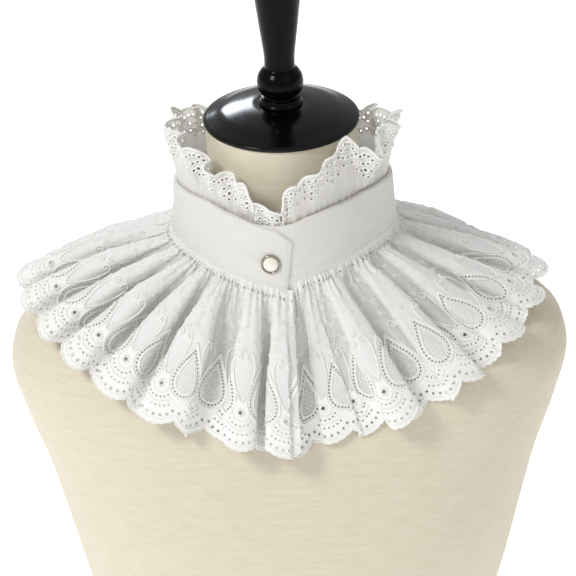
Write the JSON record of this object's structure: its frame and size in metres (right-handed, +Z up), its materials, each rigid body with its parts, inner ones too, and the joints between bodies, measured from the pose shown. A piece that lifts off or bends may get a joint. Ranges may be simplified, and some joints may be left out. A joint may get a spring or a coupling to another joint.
{
  "type": "false collar on a dress form",
  "caption": "Detachable cotton collar with a stand band, neck frill and wide gathered lace flounce, closed by a pearl snap, worn on a limbless dress form.",
  "frame": {"origin": "on the flat bottom of the dress form, under the neck axis", "axes": "+Z up along the neck axis, -Y towards the collar's front closing, +X towards the wearer's left"},
  "size_m": [0.3532, 0.2309, 0.6359],
  "materials": {
    "linen": "plain linen weave, matt",
    "lacquer": "gloss black lacquer",
    "cotton": "plain cotton, matt",
    "lace": "embroidered cotton voile, matt",
    "snap_metal": "satin",
    "pearl": "pearl gloss"
  },
  "bodies": {
    "root": {"form_torso": "linen", "neck_cap": "lacquer", "finial": "lacquer", "neck_band": "cotton", "neck_frill": "lace", "flounce": "lace", "snap_ring": "snap_metal", "snap_pearl": "pearl"}
  },
  "joints": []
}
